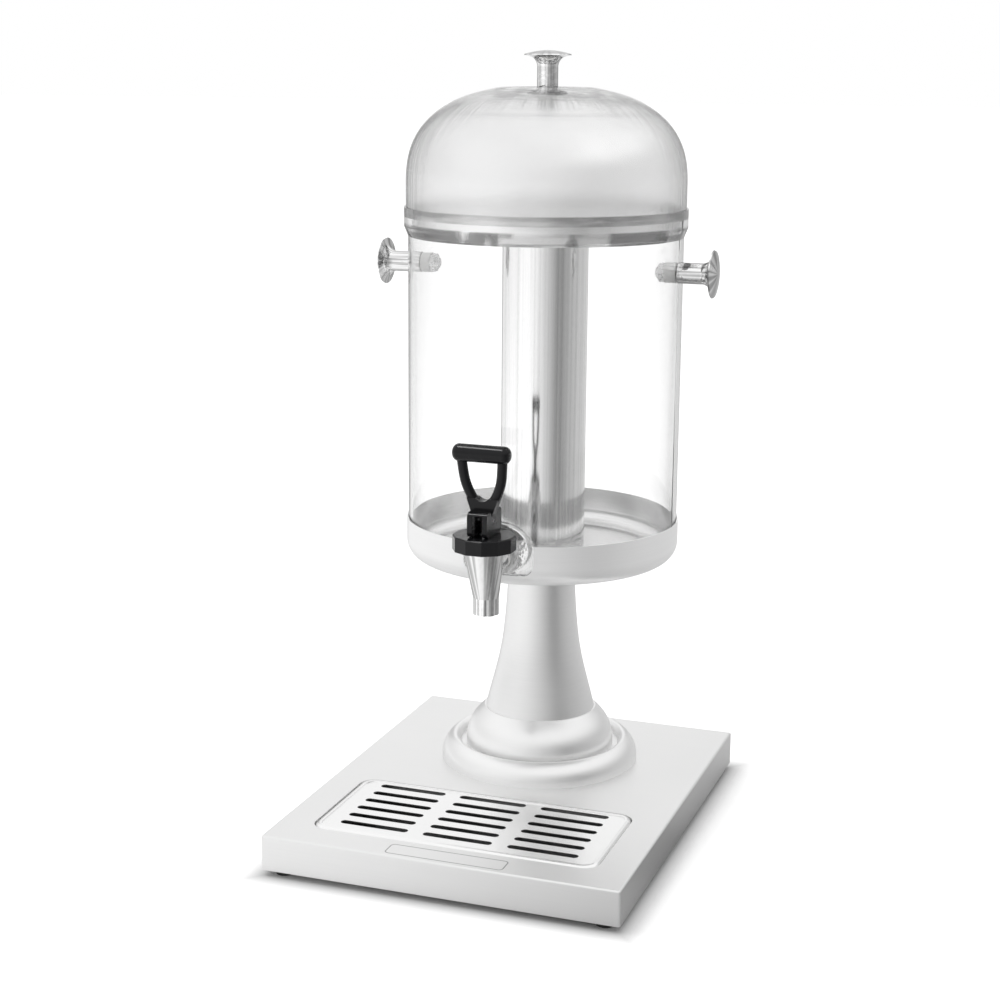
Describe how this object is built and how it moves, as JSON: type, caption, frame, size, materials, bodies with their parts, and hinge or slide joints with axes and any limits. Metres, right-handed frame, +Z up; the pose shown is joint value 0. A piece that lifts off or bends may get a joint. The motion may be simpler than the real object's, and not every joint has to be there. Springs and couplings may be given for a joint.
{
  "type": "beverage dispenser",
  "caption": "Clear cylindrical drink dispenser on a flared steel column, with a domed lid, ice tube, lever tap and drip tray.",
  "frame": {"origin": "centre of the rectangular base, on the table under the feet", "axes": "+Z up, -Y towards the user and the tap, +X to the user's right"},
  "size_m": [0.26, 0.3263, 0.564],
  "materials": {
    "brushed_steel": "brushed",
    "polished_steel": "mirror polished",
    "chrome_plate": "bright plated",
    "fastener_steel": "satin",
    "clear_plastic": "clear gloss",
    "black_plastic": "gloss",
    "black_rubber": "matte",
    "white_seal": "matte"
  },
  "bodies": {
    "stand": {"base_shell": "brushed_steel", "bottom_cover": "brushed_steel", "foot_front_left": "black_rubber", "foot_front_right": "black_rubber", "foot_back_left": "black_rubber", "foot_back_right": "black_rubber", "foot_screws": "fastener_steel", "corner_posts": "brushed_steel", "stiffener": "brushed_steel", "foot_ring": "brushed_steel", "column_collar": "brushed_steel", "column": "brushed_steel", "column_top_disc": "brushed_steel", "tie_rod": "fastener_steel", "tie_rod_washers": "fastener_steel", "tie_rod_nuts": "fastener_steel", "barrel_holder": "brushed_steel"},
    "drip_tray": {"drip_tray": "brushed_steel"},
    "drip_grille": {"drip_grille": "brushed_steel"},
    "barrel": {"barrel": "clear_plastic", "ice_tube": "polished_steel", "ice_tube_gasket": "white_seal", "ice_tube_nut": "fastener_steel", "side_knob_left": "polished_steel", "side_knob_stud_left": "fastener_steel", "side_knob_sleeve_left": "white_seal", "side_knob_nut_left": "fastener_steel", "side_knob_right": "polished_steel", "side_knob_stud_right": "fastener_steel", "side_knob_sleeve_right": "white_seal", "side_knob_nut_right": "fastener_steel", "tap_body": "chrome_plate", "tap_bonnet": "black_plastic", "tap_outer_gasket": "white_seal", "tap_inner_gasket": "white_seal", "tap_nut": "fastener_steel", "stem_seal": "white_seal"},
    "lid": {"lid_dome": "clear_plastic", "lid_knob": "polished_steel", "lid_knob_washer": "white_seal", "lid_knob_stud": "fastener_steel", "lid_knob_gasket": "white_seal", "lid_knob_nut": "fastener_steel"},
    "tap_stem": {"tap_stem": "fastener_steel", "handle_pin": "fastener_steel", "seat_cup": "white_seal", "tap_spring": "fastener_steel"},
    "tap_handle": {"tap_handle": "black_plastic"}
  },
  "joints": [
    {"name": "tray_lift", "type": "slide", "parent": "stand", "child": "drip_tray", "axis": [0, 0, 1], "range_m": [0, 0.06]},
    {"name": "grille_lift", "type": "slide", "parent": "drip_tray", "child": "drip_grille", "axis": [0, 0, 1], "range_m": [0, 0.05]},
    {"name": "barrel_lift", "type": "slide", "parent": "stand", "child": "barrel", "axis": [0, 0, 1], "range_m": [0, 0.12]},
    {"name": "lid_lift", "type": "slide", "parent": "barrel", "child": "lid", "axis": [0, 0, 1], "range_m": [0, 0.1]},
    {"name": "stem_lift", "type": "slide", "parent": "barrel", "child": "tap_stem", "axis": [0, 0, 1], "range_m": [0, 0.0036], "deforming": ["tap_spring"]},
    {"name": "handle_pull", "type": "hinge", "parent": "tap_stem", "child": "tap_handle", "pos_m": [0, -0.0667, 0.246], "axis": [1, 0, 0], "range_deg": [0, 20], "stiffness_Nm_per_rad": 0.3, "springref_deg": -8.59}
  ],
  "couplings": [
    {"joint": "stem_lift", "follows": "handle_pull", "m_per_rad": 0.010313}
  ]
}
